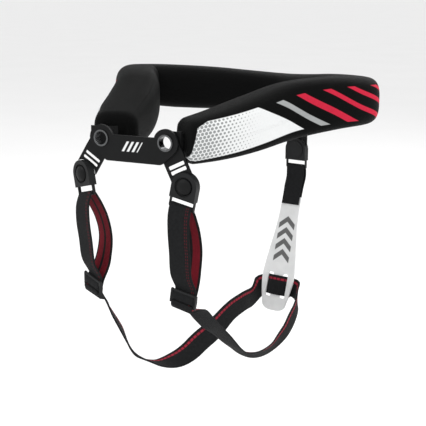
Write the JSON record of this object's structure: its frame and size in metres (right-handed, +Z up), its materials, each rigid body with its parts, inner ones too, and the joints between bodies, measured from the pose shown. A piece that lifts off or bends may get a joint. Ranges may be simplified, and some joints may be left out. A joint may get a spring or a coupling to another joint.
{
  "type": "motocross neck brace",
  "caption": "Padded neck collar, open at the front, with a riveted front plate, round snap buckles, webbing loops and a long strap threaded through a rear plate.",
  "frame": {"origin": "middle of the neck opening, level with the underside of the collar's sides", "axes": "+Z up, -Y the way the wearer looks, +X the wearer's left"},
  "size_m": [0.3264, 0.3223, 0.3323],
  "materials": {
    "black_fabric": "smooth stretch fabric over foam, with a sewn-in printed panel and stripes",
    "black_plastic": "fine matt moulded plastic",
    "dark_plastic": "satin moulded plastic",
    "eyelet_metal": "plated and rolled",
    "webbing": "woven webbing, black outside and with a red stripe inside",
    "pale_plastic": "thin translucent sheet with a printed black field"
  },
  "bodies": {
    "root": {"collar_pad": "black_fabric", "front_plate": "black_plastic", "tab_left": "black_plastic", "eyelet_left": "eyelet_metal", "link_left": "black_plastic", "buckle_left": "dark_plastic", "button_left": "black_plastic", "loop_left": "webbing", "slider_left": "dark_plastic", "tab_right": "black_plastic", "eyelet_right": "eyelet_metal", "link_right": "black_plastic", "buckle_right": "dark_plastic", "button_right": "black_plastic", "loop_right": "webbing", "slider_right": "dark_plastic", "long_strap": "webbing", "rear_tab": "webbing", "rear_link": "black_plastic", "buckle_rear": "dark_plastic", "button_rear": "black_plastic", "rear_loop": "webbing", "rear_plate": "pale_plastic"}
  },
  "joints": []
}
